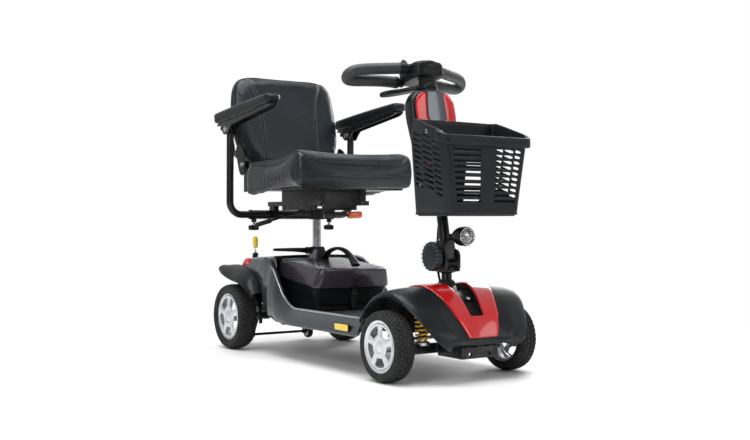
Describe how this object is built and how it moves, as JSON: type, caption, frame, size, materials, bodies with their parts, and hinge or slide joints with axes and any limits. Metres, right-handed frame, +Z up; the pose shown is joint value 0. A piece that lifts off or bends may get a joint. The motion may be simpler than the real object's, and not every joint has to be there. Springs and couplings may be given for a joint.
{
  "type": "mobility scooter",
  "caption": "Four-wheel travel mobility scooter with swivel seat, tilting tiller, front basket, lift-off battery box and anti-tip rollers",
  "frame": {"origin": "on the floor, in the middle of the bounding box", "axes": "+Z up, +Y to the rear of the scooter (it drives towards -Y), +X to the rider's left"},
  "size_m": [0.552, 1.222, 0.9729],
  "materials": {
    "frame_black": "satin",
    "shell_grey": "metallic satin",
    "panel_red": "gloss",
    "trim_black": "satin",
    "mat_black": "matt, ribbed",
    "reflector": "prismatic",
    "castings": "as cast",
    "motor_case": "satin",
    "electronics": "matt",
    "box_dark": "satin, fine grain",
    "yellow": "gloss",
    "spring_yellow": "gloss",
    "tyre": "matt",
    "rim_silver": "silver paint",
    "chrome": "polished",
    "foam_black": "matt foam",
    "lens": "clear",
    "vinyl_black": "soft sheen"
  },
  "bodies": {
    "chassis": {"main_frame": "frame_black", "body_shell": "shell_grey", "foot_mat": "mat_black", "front_fender": "trim_black", "front_cowl": "panel_red", "rear_fenders": "trim_black", "reflectors": "reflector", "transaxle": "castings", "drive_motor": "motor_case", "controller": "electronics"},
    "battery_pack": {"battery_tub": "box_dark", "battery_lid": "box_dark", "battery_handle": "box_dark", "batteries": "electronics", "charge_port": "trim_black"},
    "freewheel_lever": {"freewheel_lever": "yellow"},
    "frame_release_lever": {"frame_release_lever": "trim_black"},
    "anti_tip_wheels": {"anti_tip_wheels": "tyre"},
    "front_axle": {"front_axle_beam": "frame_black", "front_springs": "spring_yellow"},
    "knuckle_left": {"knuckle_left": "castings"},
    "knuckle_right": {"knuckle_right": "castings"},
    "tie_rods": {"tie_rods": "castings"},
    "wheel_front_left": {"tyre_front_left": "tyre", "rim_front_left": "rim_silver"},
    "wheel_front_right": {"tyre_front_right": "tyre", "rim_front_right": "rim_silver"},
    "wheel_rear_left": {"tyre_rear_left": "tyre", "rim_rear_left": "rim_silver"},
    "wheel_rear_right": {"tyre_rear_right": "tyre", "rim_rear_right": "rim_silver"},
    "steering_stem": {"steering_stem": "frame_black"},
    "tiller": {"tiller_tube": "frame_black", "tiller_cover": "trim_black", "tiller_trim": "panel_red", "console_case": "trim_black", "handlebar_loop": "foam_black", "tiller_cable": "foam_black"},
    "basket": {"basket": "trim_black"},
    "headlight": {"headlight_shell": "trim_black", "headlight_lens": "lens"},
    "throttle": {"throttle_paddles": "trim_black"},
    "speed_dial": {"speed_dial": "trim_black"},
    "ignition_key": {"ignition_key": "chrome"},
    "horn_button": {"horn_button": "trim_black"},
    "tilt_knob": {"tilt_knob": "trim_black"},
    "seat_post": {"seat_post": "chrome"},
    "swivel_base": {"swivel_base": "frame_black"},
    "seat": {"seat_pan": "frame_black", "seat_cushion": "vinyl_black"},
    "backrest": {"back_frame": "frame_black", "back_cushion": "vinyl_black"},
    "armrest_tube_left": {"armrest_tube_left": "frame_black"},
    "armrest_tube_right": {"armrest_tube_right": "frame_black"},
    "armrest_pad_left": {"armrest_pad_left": "trim_black"},
    "armrest_pad_right": {"armrest_pad_right": "trim_black"},
    "star_knob_left": {"star_knob_left": "trim_black"},
    "star_knob_right": {"star_knob_right": "trim_black"},
    "swivel_lever": {"swivel_lever": "frame_black"},
    "slide_lever": {"slide_lever": "frame_black"}
  },
  "joints": [
    {"name": "steer", "type": "hinge", "parent": "chassis", "child": "steering_stem", "pos_m": [0, -0.418, 0.2], "axis": [0, 0, 1], "range_deg": [-35, 35]},
    {"name": "front_suspension", "type": "slide", "parent": "chassis", "child": "front_axle", "axis": [0, 0, 1], "range_m": [-0.004, 0.012], "stiffness_N_per_m": 40000, "springref_m": -0.006, "deforming": ["front_springs"]},
    {"name": "kingpin_left", "type": "hinge", "parent": "front_axle", "child": "knuckle_left", "pos_m": [0.175, -0.433, 0.1], "axis": [0, 0, 1], "range_deg": [-35, 35]},
    {"name": "kingpin_right", "type": "hinge", "parent": "front_axle", "child": "knuckle_right", "pos_m": [-0.175, -0.433, 0.1], "axis": [0, 0, 1], "range_deg": [-35, 35]},
    {"name": "tie_rod_pivot", "type": "hinge", "parent": "steering_stem", "child": "tie_rods", "pos_m": [0, -0.373, 0.108], "axis": [0, 0, 1], "range_deg": [-35, 35]},
    {"name": "front_wheel_left", "type": "hinge", "parent": "knuckle_left", "child": "wheel_front_left", "pos_m": [0.22, -0.433, 0.1], "axis": [1, 0, 0], "continuous": true},
    {"name": "rear_wheel_left", "type": "hinge", "parent": "chassis", "child": "wheel_rear_left", "pos_m": [0.225, 0.493, 0.1125], "axis": [1, 0, 0], "continuous": true},
    {"name": "front_wheel_right", "type": "hinge", "parent": "knuckle_right", "child": "wheel_front_right", "pos_m": [-0.22, -0.433, 0.1], "axis": [1, 0, 0], "continuous": true},
    {"name": "rear_wheel_right", "type": "hinge", "parent": "chassis", "child": "wheel_rear_right", "pos_m": [-0.225, 0.493, 0.1125], "axis": [1, 0, 0], "continuous": true},
    {"name": "anti_tip_roll", "type": "hinge", "parent": "chassis", "child": "anti_tip_wheels", "pos_m": [0, 0.585, 0.033], "axis": [1, 0, 0], "continuous": true},
    {"name": "tiller_tilt", "type": "hinge", "parent": "steering_stem", "child": "tiller", "pos_m": [0, -0.418, 0.344], "axis": [1, 0, 0], "range_deg": [-20, 10]},
    {"name": "tilt_knob_turn", "type": "hinge", "parent": "steering_stem", "child": "tilt_knob", "pos_m": [-0.06, -0.418, 0.344], "axis": [1, 0, 0], "range_deg": [0, 270]},
    {"name": "headlight_aim", "type": "hinge", "parent": "tiller", "child": "headlight", "pos_m": [0, -0.4441, 0.40071], "axis": [1, 0, 0], "range_deg": [-15, 15]},
    {"name": "basket_lift", "type": "slide", "parent": "tiller", "child": "basket", "axis": [0, -0.0678, 0.9977], "range_m": [0, 0.06]},
    {"name": "throttle_turn", "type": "hinge", "parent": "tiller", "child": "throttle", "pos_m": [0, -0.32652, 0.83759], "axis": [0, 0.1822, 0.9833], "range_deg": [-12, 12]},
    {"name": "speed_dial_turn", "type": "hinge", "parent": "tiller", "child": "speed_dial", "pos_m": [0, -0.25134, 0.90299], "axis": [0, 0.1822, 0.9833], "range_deg": [0, 270]},
    {"name": "key_turn", "type": "hinge", "parent": "tiller", "child": "ignition_key", "pos_m": [-0.03, -0.25134, 0.90299], "axis": [0, 0.1822, 0.9833], "range_deg": [0, 90]},
    {"name": "horn_press", "type": "slide", "parent": "tiller", "child": "horn_button", "axis": [0, -0.1822, -0.9833], "range_m": [0, 0.003]},
    {"name": "seat_height", "type": "slide", "parent": "chassis", "child": "seat_post", "axis": [0, 0, 1], "range_m": [-0.02, 0.05]},
    {"name": "seat_swivel", "type": "hinge", "parent": "seat_post", "child": "swivel_base", "pos_m": [0, 0.313, 0.46], "axis": [0, 0, 1], "continuous": true},
    {"name": "seat_slide", "type": "slide", "parent": "swivel_base", "child": "seat", "axis": [0, 1, 0], "range_m": [-0.05, 0.05]},
    {"name": "backrest_fold", "type": "hinge", "parent": "seat", "child": "backrest", "pos_m": [0, 0.465, 0.64], "axis": [1, 0, 0], "range_deg": [0, 65]},
    {"name": "arm_width_left", "type": "slide", "parent": "seat", "child": "armrest_tube_left", "axis": [1, 0, 0], "range_m": [0, 0.05]},
    {"name": "armrest_flip_left", "type": "hinge", "parent": "armrest_tube_left", "child": "armrest_pad_left", "pos_m": [0.248, 0.483, 0.762], "axis": [-1, 0, 0], "range_deg": [0, 95]},
    {"name": "star_knob_turn_left", "type": "hinge", "parent": "seat", "child": "star_knob_left", "pos_m": [0.155, 0.485, 0.42], "axis": [0, 0, 1], "range_deg": [0, 270]},
    {"name": "arm_width_right", "type": "slide", "parent": "seat", "child": "armrest_tube_right", "axis": [-1, 0, 0], "range_m": [0, 0.05]},
    {"name": "armrest_flip_right", "type": "hinge", "parent": "armrest_tube_right", "child": "armrest_pad_right", "pos_m": [-0.248, 0.483, 0.762], "axis": [-1, 0, 0], "range_deg": [0, 95]},
    {"name": "star_knob_turn_right", "type": "hinge", "parent": "seat", "child": "star_knob_right", "pos_m": [-0.155, 0.485, 0.42], "axis": [0, 0, 1], "range_deg": [0, 270]},
    {"name": "swivel_lever_lift", "type": "hinge", "parent": "swivel_base", "child": "swivel_lever", "pos_m": [0.062, 0.313, 0.475], "axis": [0, -1, 0], "range_deg": [0, 12]},
    {"name": "slide_lever_lift", "type": "hinge", "parent": "swivel_base", "child": "slide_lever", "pos_m": [-0.062, 0.313, 0.475], "axis": [0, 1, 0], "range_deg": [0, 12]},
    {"name": "freewheel", "type": "hinge", "parent": "chassis", "child": "freewheel_lever", "pos_m": [-0.151, 0.483, 0.318], "axis": [-1, 0, 0], "range_deg": [0, 30]},
    {"name": "frame_release", "type": "hinge", "parent": "chassis", "child": "frame_release_lever", "pos_m": [-0.015, 0.362, 0.342], "axis": [0, 1, 0], "range_deg": [0, 60]},
    {"name": "battery_lift", "type": "slide", "parent": "chassis", "child": "battery_pack", "axis": [0, 0, 1], "range_m": [0, 0.04]}
  ],
  "couplings": [
    {"joint": "kingpin_left", "follows": "steer", "ratio": 1},
    {"joint": "kingpin_right", "follows": "steer", "ratio": 1},
    {"joint": "tie_rod_pivot", "follows": "steer", "ratio": -1}
  ]
}
